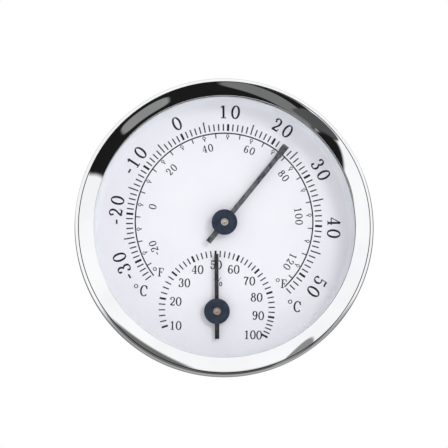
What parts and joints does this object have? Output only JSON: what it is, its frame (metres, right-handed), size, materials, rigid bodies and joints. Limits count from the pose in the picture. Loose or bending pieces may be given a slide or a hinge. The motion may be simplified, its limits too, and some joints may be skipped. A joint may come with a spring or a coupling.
{
  "type": "dial hygrometer",
  "caption": "Round wall hygrometer and thermometer: chrome bezel, white dial, two black pointers on spiral coil movements and a vented, screwed rear cover.",
  "frame": {"origin": "centre of the flat back that lies against the wall", "axes": "+Z towards the top of the dial, +Y into the wall, so the dial faces -Y; +X to the right as the dial is read"},
  "size_m": [0.072, 0.021, 0.072],
  "materials": {
    "chrome_plate": "polished",
    "clear_lens": "polished",
    "seal_rubber": "matte",
    "white_plastic": "satin",
    "white_dial": "matte",
    "case_metal": "satin",
    "black_plastic": "fine texture",
    "zinc_screw": "zinc plated",
    "steel_strip": "rolled",
    "brass": "turned",
    "copper_pin": "turned",
    "bimetal_strip": "rolled",
    "hygroscopic_strip": "coated",
    "pointer_black": "semi gloss",
    "hub_black": "satin"
  },
  "bodies": {
    "case": {"bezel_ring": "chrome_plate", "lens": "clear_lens", "lens_seal": "seal_rubber", "spacer_ring": "white_plastic", "dial_plate": "white_dial", "case_body": "case_metal", "rear_cover": "black_plastic", "cover_screws": "zinc_screw", "temperature_frame": "steel_strip", "temperature_bushing": "brass", "humidity_frame": "steel_strip", "humidity_bushing": "brass"},
    "temperature_adjuster_set": {"temperature_adjuster": "brass", "temperature_coil_anchor": "steel_strip", "temperature_coil": "bimetal_strip"},
    "temperature_pointer_set": {"temperature_arbor": "brass", "temperature_collet": "brass", "temperature_pointer": "pointer_black", "temperature_hub": "hub_black"},
    "humidity_adjuster_set": {"humidity_adjuster": "brass", "humidity_coil_anchor": "steel_strip", "humidity_coil": "hygroscopic_strip"},
    "humidity_pointer_set": {"humidity_arbor": "copper_pin", "humidity_collet": "brass", "humidity_pointer": "pointer_black", "humidity_hub": "hub_black"}
  },
  "joints": [
    {"name": "temperature_adjust", "type": "hinge", "parent": "case", "child": "temperature_adjuster_set", "pos_m": [0, 0, 0.0014], "axis": [0, 1, 0], "range_deg": [-10, 10]},
    {"name": "temperature_pointer_turn", "type": "hinge", "parent": "temperature_adjuster_set", "child": "temperature_pointer_set", "pos_m": [0, 0, 0.0014], "axis": [0, 1, 0], "range_deg": [-166, 98], "stiffness_Nm_per_rad": 0.0045, "deforming": ["temperature_coil"]},
    {"name": "humidity_adjust", "type": "hinge", "parent": "case", "child": "humidity_adjuster_set", "pos_m": [0, 0, -0.0202], "axis": [0, 1, 0], "range_deg": [-10, 10]},
    {"name": "humidity_pointer_turn", "type": "hinge", "parent": "humidity_adjuster_set", "child": "humidity_pointer_set", "pos_m": [0, 0, -0.0202], "axis": [0, 1, 0], "range_deg": [-105, 115], "stiffness_Nm_per_rad": 0.0015, "deforming": ["humidity_coil"]}
  ]
}
